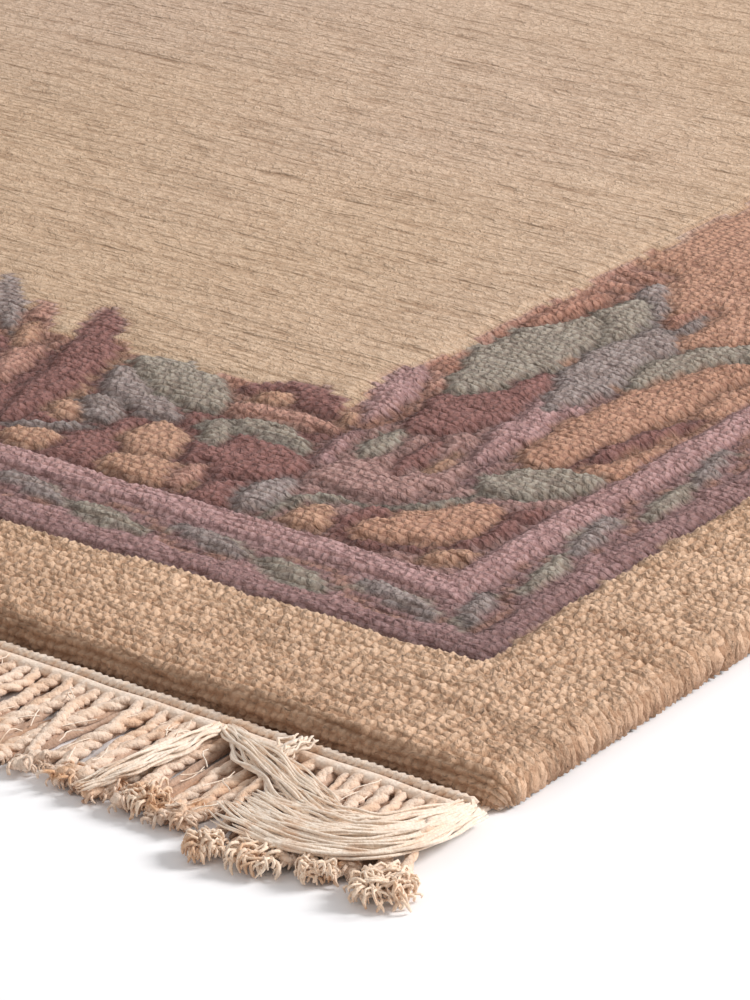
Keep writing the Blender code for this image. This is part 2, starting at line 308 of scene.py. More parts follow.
# the wool behind the leaves: yarn, from and to in from the end, and from how far in from the side
grounds = (
    ("mauve", 0.000, 0.290, 0.142),
    ("mauve", 0.000, 0.208, 0.000),
    ("aubergine", 0.000, 0.198, 0.196),
    ("rose", 0.196, 3.000, 0.222),
)
fieldStrip = dict(inSide=0.196, inEnd=0.196, stop=0.400, rust=-0.1)  # rust and rose mixed along the field
cornerBow = dict(out=0.0045, place=0.045, width=0.05, within=0.1)  # the ribbon bends out beside the corner

# the carved leaves and stems of one corner, mirrored to the four; millimetres in from the side and the end
plainLeaf = (0.6, 0, 1.0)  # fullness, bend and belly where a leaf doesn't say them
leaves = (
    # yarn, foot across, foot along, tip across, tip along, width, fullness, bend, belly
    ("mauve", 175, 150, 172, 218, 60, 0.3), ("rust", 213, 318, 204, 372, 13, 0.7),
    ("rust", 174, 335, 160, 378, 14, 0.7), ("plum", 218, 264, 203, 203, 15, 0.7),
    ("aubergine", 178, 292, 183, 203, 35, 0.7, 0, 1.2), ("plum", 158, 288, 150, 196, 21, 0.5),
    ("slate", 172, 336, 196, 386, 17, 0.5, -2, 0.9), ("slate", 157, 252, 167, 350, 32, 0.6, 0, 1.2),
    ("sage", 188, 310, 192, 366, 26, 0.5, 3, 0.9), ("sage", 193, 244, 194, 342, 36, 0.6, -2, 1.1),
    ("tan", 150, 286, 118, 300, 12, 0.5), ("sage", 146, 288, 119, 356, 33, 0.55, -3),
    ("peach", 133, 206, 122, 334, 29, 0.4, -4, 0.85), ("aubergine", 121, 212, 108, 282, 10, 0.5),
    ("slate", 165, 342, 159, 368, 7, 0.7), ("plumDark", 200, 202, 194, 158, 9),
    ("sage", 187, 207, 184, 174, 13, 0.8), ("aubergine", 171, 208, 166, 170, 12, 0.7),
    ("tan", 159, 204, 158, 178, 7, 0.7), ("plumDark", 144, 206, 141, 178, 8, 0.7),
    ("sage", 138, 182, 104, 211, 27, 0.55, 0, 0.8), ("aubergine", 104, 182, 113, 156, 12, 0.7),
    ("aubergine", 160, 124, 105, 160, 40, 0.5), ("peach", 150, 124, 118, 172, 30, 0.6, 5),
    ("tan", 168, 116, 166, 140, 19, 0.7, 0, 0.7), ("tan", 119, 119, 103, 136, 13, 0.7),
    ("sage", 182, 116, 156, 148, 8, 0.35, -10), ("sage", 158, 147, 131, 178, 7, 0.35, 6),
    ("slate", 192, 151, 190, 116, 18), ("aubergine", 260, 202, 211, 202, 20, 0.5, -10),
    ("tan", 246, 195, 239, 212, 15, 0.7), ("tan", 214, 210, 205, 199, 9, 0.7),
    ("rose", 264, 184, 203, 192, 15, 0.5, -3), ("slate", 310, 198, 256, 167, 24, 0.7, 4),
    ("slate", 301, 170, 276, 150, 20, 0.7), ("sage", 310, 207, 250, 182, 26, 0.6, -3, 1.1),
    ("aubergine", 246, 158, 193, 152, 42, 0.55), ("sage", 252, 168, 202, 170, 16, 0.5, -9),
    ("sage", 246, 178, 231, 155, 12), ("tan", 263, 164, 240, 130, 26, 0.65),
    ("tan", 258, 126, 214, 124, 22, 0.5), ("rose", 225, 142, 221, 116, 12), ("tan", 303, 122, 277, 128, 20),
    ("slate", 309, 128, 272, 148, 7), ("tan", 322, 214, 311, 178, 15), ("tan", 317, 172, 299, 163, 17),
    ("tan", 312, 158, 287, 148, 13, 0.7), ("rose", 353, 204, 333, 156, 16), ("rose", 374, 232, 348, 192, 14),
    ("tan", 364, 214, 350, 190, 13), ("aubergine", 345, 238, 308, 130, 21, 0.35, -6),
    ("slate", 404, 247, 364, 200, 13, 0.7), ("aubergine", 382, 200, 350, 150, 20),
    ("tan", 372, 150, 336, 124, 22), ("sage", 424, 226, 386, 174, 26, 0.6, 3, 1.1),
    ("slate", 440, 200, 400, 158, 20, 0.7), ("aubergine", 398, 160, 374, 120, 24),
    ("tan", 428, 152, 400, 122, 22), ("rose", 449, 152, 436, 118, 18), ("aubergine", 450, 222, 450, 156, 20),
)

# the vine in the channel between the two ribbons
vine = dict(endStep=0.0393, sideStep=0.0367, endStart=0.142, sideStart=0.132, endMiddle=0.0870, sideMiddle=0.0775,
            leaf=0.036, width=0.0100, aside=0.005, slant=0.009, line=0.0030, swing=0.0078,
            lineRaised=0.35, leafRaised=0.4)

dice = np.random.default_rng(20)
uniform, normal = dice.uniform, dice.normal


def drift(shape, across, along):
    # slow random values from -1 to 1 that change over so many grid steps
    few = (int(shape[0] / across) + 3, int(shape[1] / along) + 3)
    rough = uniform(-1, 1, few)
    atA = np.arange(shape[0]) / across
    atB = np.arange(shape[1]) / along
    first = np.array([np.interp(atA, np.arange(few[0]), column) for column in rough.T])
    return np.array([np.interp(atB, np.arange(few[1]), row) for row in first.T])


def soften(values, times):
    for _ in range(times):
        near = np.roll(values, 1, 0) + np.roll(values, -1, 0) + np.roll(values, 1, 1) + np.roll(values, -1, 1)
        values = (near + 2 * values) / 6
    return values


codes = {name: number for number, name in enumerate(yarns)}
dyes = np.array([dye(name) for name in yarns])
zones = dict(border=0, carved=1, field=2)
firstLeaf = 100  # parts below this number are the yarns between the leaves


def leafShare(inSide, inEnd, leaf):
    # 0 outside a leaf and up to 1 along its rib
    _, footA, footB, tipA, tipB, width, fullness, bend, belly = leaf + plainLeaf[len(leaf) - 6:]
    runA, runB = (tipA - footA) / 1000, (tipB - footB) / 1000
    long = np.hypot(runA, runB)
    alongLeaf = ((inSide - footA / 1000) * runA + (inEnd - footB / 1000) * runB) / long ** 2
    inside = np.clip(alongLeaf, 0, 1)
    acrossLeaf = ((inEnd - footB / 1000) * runA - (inSide - footA / 1000) * runB) / long
    acrossLeaf = np.abs(acrossLeaf - bend / 1000 * 4 * inside * (1 - inside))
    half = width / 2000 * np.sin(pi * inside ** belly) ** fullness
    # the outline is a little wavy
    half = half * (1 + 0.10 * np.sin(21 * inside + footA) + 0.07 * np.sin(47 * inside + footB))
    here = (alongLeaf > 0) & (alongLeaf < 1) & (acrossLeaf < half)
    return np.where(here, np.sqrt(np.clip(1 - (acrossLeaf / np.maximum(half, 1e-6)) ** 2, 0, 1)), 0)


def twineVine(inSide, inEnd, ringSide, ringEnd, yarn, raised):
    # two thin stems that cross, with a small leaf in each loop
    ring = np.minimum(ringSide, ringEnd)
    channel = (ring > ringAt["channel"] + 0.2) & (ring < ringAt["channelEnd"] - 0.2)
    onSide = ringSide < ringEnd
    along = np.where(onSide, (inEnd - vine["sideStart"]) / vine["sideStep"],
                     (inSide - vine["endStart"]) / vine["endStep"])
    middle = np.where(onSide, inSide - vine["sideMiddle"], inEnd - vine["endMiddle"])
    for share, name in ((0.0, "moss"), (0.5, "rose")):
        stem = np.abs(middle - vine["swing"] * np.cos(pi * (along + share * 2 + 1))) < vine["line"] / 2
        yarn[channel & stem] = codes[name]
        raised[channel & stem] = vine["lineRaised"]
    phase = (along + 0.5) % 1 - 0.5
    turn = np.floor(along + 0.5) % 2
    budLong = np.abs(phase) * np.where(onSide, vine["sideStep"], vine["endStep"]) / (vine["leaf"] / 2)
    budWide = vine["width"] / 2 * np.sqrt(np.clip(1 - budLong ** 2, 0, 1)) ** 0.8
    aside = np.abs(middle - (turn - 0.5) * vine["aside"] - phase * vine["slant"])
    bud = channel & (budLong < 1) & (aside < budWide)
    yarn[bud] = np.where(turn, codes["slate"], codes["sage"])[bud]
    raised[bud] = vine["leafRaised"]


def layLeaves(inSide, inEnd, ring, yarn, part, raised, tall, reach=0.045):
    for number, leaf in enumerate(leaves):
        name, footA, footB, tipA, tipB = leaf[:5]
        near = np.abs(inSide - (footA + tipA) / 2000) < abs(footA - tipA) / 2000 + reach
        near &= np.abs(inEnd - (footB + tipB) / 2000) < abs(footB - tipB) / 2000 + reach
        near &= ring > ringAt["leafBand"] + 0.2
        share = leafShare(inSide[near], inEnd[near], leaf)
        spots = np.nonzero(near)
        hit = share > 0
        at = (spots[0][hit], spots[1][hit])
        yarn[at] = codes[name]
        part[at] = firstLeaf + number
        raised[at] = share[hit]
        tall[at] = np.minimum(tall[at], 0.84)


def layOut(inSide, inEnd):
    # what lies at each grid point, from its distance to the side and the end
    bow = cornerBow
    inSide = inSide + (bow["out"] * np.exp(-((inEnd - bow["place"]) / bow["width"]) ** 2)
                       * (inSide < bow["within"]))
    ringSide = np.interp(inSide, rings[:, 0], range(len(rings)))
    ringEnd = np.interp(inEnd, rings[:, 1], range(len(rings)))
    ring = np.minimum(ringSide, ringEnd)
    tall = np.interp(ring, range(len(rings)), rings[:, 2])
    yarn = np.full(ring.shape, codes["cream"])
    yarn[(ring > ringAt["ribbon"]) & (ring <= ringAt["channelEnd"])] = codes["plumDark"]
    yarn[(ring > ringAt["channelEnd"]) & (ring < ringAt["leafBand"])] = codes["plum"]
    ground = (ring >= ringAt["leafBand"]) & (ring < ringAt["field"])
    yarn[ground] = codes["peach"]
    for name, fromEnd, toEnd, fromSide in grounds:
        yarn[ground & (inEnd >= fromEnd) & (inEnd < toEnd) & (inSide > fromSide)] = codes[name]
    blotch = drift(ring.shape, 11, 5)
    strip = ground & (inSide > fieldStrip["inSide"]) & (inEnd > fieldStrip["inEnd"]) & (inEnd < fieldStrip["stop"])
    yarn[strip] = np.where(blotch > fieldStrip["rust"], codes["rust"], codes["rose"])[strip]
    yarn[ring >= ringAt["field"]] = codes["sand"]
    raised = np.zeros(ring.shape)
    twineVine(inSide, inEnd, ringSide, ringEnd, yarn, raised)
    part = yarn.copy()
    layLeaves(inSide, inEnd, ring, yarn, part, raised, tall)
    zone = np.where(ring <= ringAt["ribbon"], zones["border"], zones["carved"])
    zone[(ring >= ringAt["field"]) & (part < firstLeaf)] = zones["field"]
    return yarn, zone, part, raised, tall, ring


# what shears and yarn do to the surface, and the painted shade in crevices, in carved cuts and in the lee of the
# border; threes are for the border, the carved band and the field
fleece = dict(stray=0.0011, fineStray=0.0010, leafRise=0.0012, cutDepth=0.0018, swell=0.00035, ripple=0.00022,
              rowSwell=(0.00062, 0.00030, 0.00058), bold=(0.00100, 0.00055, 0.00024),
              creviceShade=(0.25, 0.19, 0.13), creviceShadeTone=(0.72, 1.02, 1.25), rimCreviceShade=0.6,
              streak=(0.09, 0.05, 0.05), cutShade=0.44, leeShade=0.30, sway=0.0012)
cuts = dict(wide=2.2, border=0.3, ribbons=0.80, field=0.5, fieldEdge=3.4)
# how far an end stands up, the gap beside it in its row and the gap between rows, each with its unevenness
yarnEnd = dict(tall=0.9, tallUneven=0.45, gap=0.12, gapUneven=0.25, row=0.75, rowGap=0.25, rim=0.8, rimUneven=0.3)
# painted shade on the rim, darker and a little browner, most of all at the ends; the corners are left out of it
# and get a painted highlight instead
rimShading = dict(slope=1.2, start=0.6, shadeTint=(0.37, 0.42, 0.44), side=0.85, corner=0.03, cornerFree=0.85,
               cornerLight=0.17)
# painted shade at the outer ribbon's corners
ribbonCornerShade = dict(across=0.388, along=1.432, reach=0.034, paintedShade=0.20)


def byZone(name, zone):
    return soften(np.array(fleece[name])[zone], 2)


def cutLines(zone, part, ring):
    # the cuts round every carved shape, softer where the field starts
    edge = np.zeros(part.shape)
    edge[1:] += part[1:] != part[:-1]
    edge[:, 1:] += part[:, 1:] != part[:, :-1]
    cut = np.clip(soften(np.clip(edge, 0, 1), 3) * cuts["wide"], 0, 1)
    cut[zone == zones["border"]] *= cuts["border"]
    cut[(ring > ringAt["ribbon"]) & (ring < ringAt["leafBand"])] *= cuts["ribbons"]
    inField = soften((zone == zones["field"]).astype(float), 6)
    cut *= 1 - cuts["fieldEdge"] * inField * (1 - inField)
    cut[zone == zones["field"]] *= cuts["field"]
    return cut


def yarnEnds(shape, rimSide):
    # how far each grid point stands up; odd steps are the ends and even ones the gaps
    e = yarnEnd
    oddA = (np.arange(shape[0]) % 2)[:, None]
    oddB = (np.arange(shape[1]) % 2)[None, :]
    tuft = np.where(oddA & oddB, e["tall"] + e["tallUneven"] * normal(size=shape), 0)
    tuft += np.where((1 - oddA) & oddB, e["gap"] + e["gapUneven"] * normal(size=shape), 0)
    rowDip = e["row"] + e["row"] * drift(shape, 14, 1.5)
    tuft -= np.where(1 - oddB, rowDip + e["rowGap"] * (1 - oddA), 0)
    tuft = np.where(rimSide & (oddB == 1), e["rim"] + e["rimUneven"] * normal(size=shape), tuft)
    return np.clip(tuft, -1.1, 1.4)


def shadeOf(a, b, zone, cut, ring):
    # painted shade and highlight over the dyes, for red, green and blue: shade in the cuts, in the lee of the
    # border, on the rim and at the ribbon's corners, and a highlight on the carpet's corners; the streaks along
    # the rows are tone
    lee = np.where(ring > ringAt["ribbon"], np.clip((5.6 - ring) / 2.4, 0, 1), 0)
    shade = 1 - fleece["cutShade"] * cut - fleece["leeShade"] * soften(lee, 1)
    shade *= 1 + byZone("streak", zone) * drift(zone.shape, 26, 2.4)
    rim = rimShading
    pastA, pastB = np.abs(a) - halfWidth, np.abs(b) - halfLength
    corner = np.clip(pastA / rim["corner"] + 1, 0, 1) * np.clip(pastB / rim["corner"] + 1, 0, 1)
    under = np.clip(rim["slope"] * np.maximum(pastA, pastB) / carpet["rimArc"] + rim["start"], 0, 1)
    under *= (1 - rim["cornerFree"] * corner) * np.where(pastB > pastA, 1.0, rim["side"])
    shade *= 1 + rim["cornerLight"] * corner
    knuckle = (np.abs(a) - ribbonCornerShade["across"]) ** 2 + (np.abs(b) - ribbonCornerShade["along"]) ** 2
    knuckle = np.exp(-knuckle / ribbonCornerShade["reach"] ** 2) * (zone == zones["carved"])
    shade *= 1 - ribbonCornerShade["paintedShade"] * knuckle
    return shade[..., None] * (1 - under[..., None] * rim["shadeTint"])


def buildGrid():
    # half-step grid: odd numbers are the middles of yarn ends, even ones the gaps between them
    c, f = carpet, fleece
    reach = c["rimArc"] - c["rimRadius"]
    flatA = np.linspace(-halfWidth - reach, halfWidth + reach, 2 * c["columns"] + 1)
    flatB = np.linspace(-halfLength - reach, halfLength + reach, 2 * c["rows"] + 1)
    a, b = np.meshgrid(flatA, flatB, indexing="ij")
    shape = a.shape
    inSide = halfWidth - np.abs(a) + f["stray"] * drift(shape, 9, 9) + f["fineStray"] * drift(shape, 3, 3)
    inEnd = halfLength - np.abs(b) + f["stray"] * drift(shape, 9, 9) + f["fineStray"] * drift(shape, 3, 3)
    yarn, zone, part, raised, tall, ring = layOut(inSide, inEnd)
    cut = cutLines(zone, part, ring)
    height = c["pile"] * soften(tall, 2) + f["leafRise"] * soften(raised ** 0.6, 2) - f["cutDepth"] * cut
    height += f["swell"] * drift(shape, 60, 40) + f["ripple"] * drift(shape, 30, 7)
    height += byZone("rowSwell", zone) * drift(shape, 32, 5)
    rimSide = (np.abs(a) > halfWidth - c["rimRadius"]) & (np.abs(b) < halfLength - 0.004)
    tuft = yarnEnds(shape, rimSide)
    # painted shade down between the ends, less on the rim
    creviceShade = np.clip(0.25 - tuft, 0, 1.3) * byZone("creviceShade", zone) * np.where(rimSide, f["rimCreviceShade"], 1.0)
    a = a + 0.00012 * normal(size=shape)
    b = b + 0.00010 * normal(size=shape) + f["sway"] * drift(shape, 12, 7)
    # a gap between yarn ends takes the mean of their colours
    own = dyes[yarn[1::2, 1::2]]
    own = np.pad(np.repeat(np.repeat(own, 2, 0), 2, 1), ((1, 1), (1, 1), (0, 0)), mode="edge")
    colour = (own[:-1, :-1] + own[1:, :-1] + own[:-1, 1:] + own[1:, 1:]) / 4
    colour[..., :3] *= shadeOf(a, b, zone, cut, ring)
    return dict(a=a, b=b, height=height, bump=byZone("bold", zone) * tuft, colour=colour, zone=zone,
                creviceShade=creviceShade, blurredCreviceShade=soften(creviceShade, 6))


def overRim(a, b, height, bump):
    c = carpet
    startA, startB = halfWidth - c["rimRadius"], halfLength - c["rimRadius"]
    overA = np.clip((np.abs(a) - startA) / c["rimArc"], 0, 1)
    overB = np.clip((np.abs(b) - startB) / c["rimArc"], 0, 1)
    awayA, awayB = overA * np.sqrt(1 - overB ** 2 / 2), overB * np.sqrt(1 - overA ** 2 / 2)
    over = np.hypot(awayA, awayB)
    towardA, towardB = awayA / np.maximum(over, 1e-9), awayB / np.maximum(over, 1e-9)
    roll = over * c["rimTurn"]
    out = (c["rimRadius"] + bump) * np.sin(roll)
    x = np.sign(a) * (np.minimum(np.abs(a), startA) + out * towardA)
    y = np.sign(b) * (np.minimum(np.abs(b), startB) + out * towardB)
    z = c["rimRise"] + (height - c["rimRise"] + bump) * np.cos(roll)
    return x, y, np.maximum(z, c["lowest"])


grid = buildGrid()
print("knot grid laid out", grid["a"].shape)


def pilePiece(name, across, along, stepA=1, stepB=1, tuck=""):
    # across and along count yarn ends; a step of 1 models each end, a wider one leaves them to the material
    c = carpet
    fromA, toA, fromB, toB = 2 * across[0], 2 * across[1], 2 * along[0], 2 * along[1]
    # pieces dip under their neighbours along the sides that tuck names: left, right, near, far
    left, right, near, far = (int(side in tuck) for side in "LRNF")
    cellsA, cellsB = (toA - fromA) // stepA + left + right, (toB - fromB) // stepB + near + far
    bm = bmesh.new()
    bmesh.ops.create_grid(bm, x_segments=cellsA, y_segments=cellsB, size=0.5)
    mesh = bpy.data.meshes.new(name)
    bm.to_mesh(mesh)
    bm.free()
    co = np.empty(len(mesh.vertices) * 3)
    mesh.vertices.foreach_get("co", co)
    co = co.reshape(-1, 3)
    i = fromA + (np.rint((co[:, 0] + 0.5) * cellsA).astype(int) - left) * stepA
    j = fromB + (np.rint((co[:, 1] + 0.5) * cellsB).astype(int) - near) * stepB
    hidden = (i < fromA) | (i > toA) | (j < fromB) | (j > toB)
    bump = grid["bump"][i, j]
    if stepA > 1:
        bump = np.where(j % 2, c["rowBump"], -c["rowBump"]) if stepB == 1 else 0 * bump
    x, y, z = overRim(grid["a"][i, j], grid["b"][i, j], grid["height"][i, j], bump)
    z = np.maximum(z - c["tuckDepth"] * hidden, c["tuckLowest"])
    mesh.vertices.foreach_set("co", np.stack([x, y, z], 1).ravel())
    corners = np.empty(len(mesh.loops), int)
    mesh.loops.foreach_get("vertex_index", corners)
    corners = corners.reshape(-1, 4)
    middleA = np.clip(i[corners].mean(1) // 2, 0, c["columns"] - 1).astype(int)
    middleB = np.clip(j[corners].mean(1) // 2, 0, c["rows"] - 1).astype(int)
    zone = grid["zone"][2 * middleA + 1, 2 * middleB + 1]
    colours = mesh.color_attributes.new("wool", "FLOAT_COLOR", "POINT")
    shown = grid["colour"][i, j]
    # painted shade down between the ends, warmer in tone; the coarse pieces take it blurred
    dark = grid["creviceShade" if stepB == 1 else "blurredCreviceShade"][i, j]
    shown[:, :3] *= 1 - dark[:, None] * fleece["creviceShadeTone"]
    colours.data.foreach_set("color", shown.ravel())
    knots = mesh.uv_layers.new(name="knots")
    # over the side rim the ends splay, so they show longer
    rim = c["rimArc"] / c["pitch"]
    over = np.maximum(rim - i, 0) - np.maximum(i - (2 * c["columns"] - rim), 0)
    places = np.stack([(i + c["rimSplay"] * over)[corners] / 2, j[corners] / 2], -1)
    knots.data.foreach_set("uv", places.ravel())
    for material in woolMaterials:
        mesh.materials.append(material)
    mesh.polygons.foreach_set("material_index", zone.astype(np.int32))
    mesh.polygons.foreach_set("use_smooth", np.ones(len(mesh.polygons), bool))
    mesh.update()
    piece = addObject(name, mesh)
    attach(piece, "root")
    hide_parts("pile_carpet")
    return piece


# where the grid is divided into pieces, counted in yarn ends
split = dict(end=72, spray=134, nearField=190, border=20, band=72)


def buildPile():
    columns, last, half = carpet["columns"], carpet["rows"], carpet["rows"] // 2
    end, spray, nearField, border, band = split.values()
    left, right = (0, border), (columns - border, columns)
    bandLeft, bandRight = (border, band), (columns - band, columns - border)
    inner = (band, columns - band)
    # name, across, along, steps, and the sides that tuck under
    return [pilePiece(*row) for row in (
        ("nearEndPile", (0, columns), (0, end)),
        ("farEndPile", (0, columns), (last - end, last), 2, 2, "N"),
        ("nearRightEdge", right, (end, half)),
        ("nearLeftEdge", left, (end, half), 2, 2, "NR"),
        ("farRightEdge", right, (half, last - end), 2, 2, "NFL"),
        ("farLeftEdge", left, (half, last - end), 2, 2, "NFR"),
        ("nearRightSpray", bandRight, (end, spray)),
        ("nearLeftSpray", bandLeft, (end, spray), 2, 1, "LRNF"),
        ("farRightSpray", bandRight, (last - spray, last - end), 2, 1, "LRNF"),
        ("farLeftSpray", bandLeft, (last - spray, last - end), 2, 1, "LRNF"),
        ("nearRightBand", bandRight, (spray, half), 2, 4, "LRNF"),
        ("nearLeftBand", bandLeft, (spray, half), 2, 4, "LRNF"),
        ("farRightBand", bandRight, (half, last - spray), 2, 4, "LRNF"),
        ("farLeftBand", bandLeft, (half, last - spray), 2, 4, "LRNF"),
        ("nearField", inner, (end, nearField), 2, 1, "LRNF"),
        ("midField", inner, (nearField, half), 2, 6, "LRNF"),
        ("farField", inner, (half, last - end), 2, 8, "LRNF"),
    )]


pilePieces = buildPile()
print("pile built,", sum(2 * len(piece.data.polygons) for piece in pilePieces), "triangles")


def cottonMaterial(name, colour, scale, lift, stains=0.0, streaky=0.55, sheen=0.2):
    material, tree, shader = newMaterial(name, 0.9, sheen, 0.1)
    place = addNode(tree, "TexCoord").outputs["Object"]
    fibres = useGroup(tree, fibreNodes, Scale=scale)
    base = mixColour(tree, ramp(tree, fibres["Mottle"], 0, 1, 0, 0.35, "LINEAR"), dye(colour),
                     (0.62, 0.50, 0.42, 1), "MULTIPLY")
    # cords differ a little in colour, and old damp has left rusty spots, most of all at their ends
    streaks = addNode(tree, "Mapping", {"Vector": place, "Scale": (150.0, 22.0, 60.0)}).outputs[0]
    streaks = ramp(tree, noiseOf(tree, streaks, 1.0), 0.42, 0.68, 0, streaky)
    base = mixColour(tree, streaks, base, (0.84, 0.64, 0.47, 1), "MULTIPLY")
    out = addNode(tree, "SeparateXYZ", {0: place}).outputs[1]
    ends = ramp(tree, mathOf(tree, "ABSOLUTE", out, 0.0), 1.535, 1.564, 0.25, 1.0)
    spots = ramp(tree, noiseOf(tree, place, 95.0), 0.50, 0.66)
    spots = mathOf(tree, "MULTIPLY", spots, ends)
    base = mixColour(tree, mathOf(tree, "MULTIPLY", spots, stains), base, dye("stain"))
    tree.links.new(base, shader.inputs["Base Color"])
    tree.links.new(bumpFrom(tree, fibres["Height"], lift, 0.8), shader.inputs["Normal"])
    return material


cordCotton = cottonMaterial("cordCotton", "cotton", 900.0, 0.0008, 0.75)
looseCotton = cottonMaterial("looseCotton", "cottonPale", 1100.0, 0.0004, 0.45, 0.25, 0.5)
headCotton = cottonMaterial("headCotton", "cottonHead", 1100.0, 0.0005, 0.60, 0.35, 0.4)
underCottonShaded = cottonMaterial("underCottonShaded", "cottonUnderShaded", 900.0, 0.0006, 0.3)
bandCotton = cottonMaterial("bandCotton", "cottonBand", 700.0, 0.0006)
backCotton = cottonMaterial("backCotton", "cottonBand", 300.0, 0.0010)


def roundedBox(name, size, middle, edge, material):
    bm = bmesh.new()
    bmesh.ops.create_cube(bm, size=1.0)
    bmesh.ops.scale(bm, vec=size, verts=bm.verts)
    bmesh.ops.translate(bm, vec=middle, verts=bm.verts)
    bmesh.ops.bevel(bm, geom=bm.edges[:], offset=edge, offset_type="OFFSET", segments=2,
                    profile=0.5, affect="EDGES", material=-1)
    mesh = bpy.data.meshes.new(name)
    bm.to_mesh(mesh)
    bm.free()
    mesh.materials.append(material)
    return addObject(name, mesh)


# the cotton back under the knots
back = dict(inset=0.0030, low=0.0002, high=0.0016, round=0.0005)


def buildBack():
    size = (carpet["width"] - 2 * back["inset"], carpet["length"] - 2 * back["inset"], back["high"] - back["low"])
    piece = roundedBox("cottonBack", size, (0, 0, (back["high"] + back["low"]) / 2), back["round"], backCotton)
    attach(piece, "root")
    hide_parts("pile_carpet")
    return piece


backPiece = buildBack()


def strandPiece(name, strands, sides, material, node):
    # strands are lists of x, y, z, radius; sides is the bevel's own resolution
    data = bpy.data.curves.new(name, "CURVE")
    data.dimensions = "3D"
    data.bevel_depth = 1.0
    data.bevel_resolution = sides
    data.use_fill_caps = True
    for strand in strands:
        spline = data.splines.new("POLY")
        spline.points.add(len(strand) - 1)
        strand = np.asarray(strand)
        points = np.concatenate([strand[:, :3], np.ones((len(strand), 1))], 1)
        spline.points.foreach_set("co", points.ravel())
        spline.points.foreach_set("radius", strand[:, 3])
        spline.use_smooth = True
    carrier = addObject(name + "Curve", data)
    graph = bpy.context.evaluated_depsgraph_get()
    mesh = bpy.data.meshes.new_from_object(carrier.evaluated_get(graph))
    mesh.name = name
    bpy.data.objects.remove(carrier)
    mesh.materials.clear()
    mesh.materials.append(material)
    piece = addObject(name, mesh)
    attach(piece, "root")
    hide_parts(node)
    return piece


# end band: a twisted cord against the pile and a smooth rib beside it
band = dict(half=0.4445, cordOut=0.0040, cordRise=0.0048, cordRadius=0.00132, cordTwist=0.0056, cordRound=0.0008,
            ribOut=0.0084, ribRise=0.0038, ribRadius=0.0025, ribFlat=0.75)


def bandStrands(end):
    strands = []
    long = np.arange(-band["half"], band["half"], band["cordTwist"] / 4)
    for ply in (0, 1):
        turn = 2 * pi * long / band["cordTwist"] + pi * ply
        y = end * (halfLength + band["cordOut"] + band["cordRound"] * np.cos(turn))
        z = band["cordRise"] + band["cordRound"] * np.sin(turn)
        strands.append(np.stack([long, y, z, np.full(len(long), band["cordRadius"])], 1))
    return strands


def ribStrand(end):
    long = np.linspace(-band["half"], band["half"], 180)
    wave = 0.0003 * np.sin(61 * long) + 0.0002 * np.sin(147 * long + 1)
    radius = band["ribRadius"] * (1 + 0.06 * np.sin(97 * long) + 0.05 * np.sin(213 * long + 2))
    radius[[0, -1]] *= 0.5
    y = end * (halfLength + band["ribOut"] + wave)
    return [np.stack([long, y, band["ribRise"] + wave * 0.4, radius], 1)]


# the fringe: plied cords that come out from under the rib
fringe = dict(count=156, half=0.4420, start=0.0098, length=0.0610, uneven=0.0100, trim=0.0060, lean=0.0050,
              wander=0.0040, outward=0.0070, outFrom=0.41, outOver=0.032, strays=0.3, strayLean=0.0080,
              strayLift=0.0040, bow=0.0030, ply=0.00152, round=0.00082, twist=0.0122, rise=0.0030)


def cordPath(index, end, count):
    f = fringe
    x0 = -f["half"] + 2 * f["half"] * (index + 0.5) / f["count"] + normal() * 0.0006
    long = f["length"] - f["uneven"] * (0.5 + 0.3 * sin(2.4 * index) + 0.2 * sin(0.37 * index + 1)) - f["trim"]
    lean = f["lean"] * sin(17 * x0 + 0.6) * (1 - (x0 / 0.45) ** 4) + normal() * f["wander"]
    lean += f["outward"] * np.sign(x0) * np.clip((abs(x0) - f["outFrom"]) / f["outOver"], 0, 1)
    stray = dice.random() < f["strays"]
    lean += normal() * f["strayLean"] * stray
    bow = normal() * f["bow"]
    over = uniform(0.5, 1.0) * f["strayLift"] if stray else 0.0004
    t = np.linspace(0, 1, count)
    x = x0 + lean * t ** 1.4 + bow * np.sin(pi * t)
    x = x + 0.0006 * np.sin(pi * t * uniform(3, 6) + uniform(0, 6))
    y = end * (halfLength + f["start"] + long * t)
    z = f["rise"] + 0.0006 * np.exp(-(t * 9) ** 2) + over * np.sin(pi * np.clip(t * 1.1, 0, 1)) ** 2
    return np.stack([x, y, z], 1), long


def cordStrands(end, perTurn):
    strands, tips = [], []
    f = fringe
    turns = (f["length"] - f["uneven"] * 0.5) / f["twist"]
    for index in range(f["count"]):
        path, long = cordPath(index, end, int(turns * perTurn) + 2)
        travel = np.linspace(0, long, len(path))
        twist = f["twist"] * (1 + 0.15 * normal())
        start = uniform(0, 2 * pi)
        thick = 1 + 0.10 * normal()
        for ply in (0, 1):
            turn = 2 * pi * travel / twist + pi * ply + start
            points = path.copy()
            points[:, 0] += f["round"] * thick * np.cos(turn)
            points[:, 2] += f["round"] * thick * np.sin(turn) * 0.95
            radius = f["ply"] * thick * (1 - 0.25 * (travel / long) ** 6)
            radius = radius * (1 + 0.05 * normal(size=len(radius)))
            points[:, 2] = np.maximum(points[:, 2], radius + 0.0001)
            strands.append(np.column_stack([points, radius]))
        tips.append((path[-1], path[-1] - path[-4]))
    return strands, tips


# hairs that have worked loose and run along the near cords
looseHairs = dict(each=2, within=0.42, radius=0.00022, rise=0.0054, low=0.0020, high=0.0085)


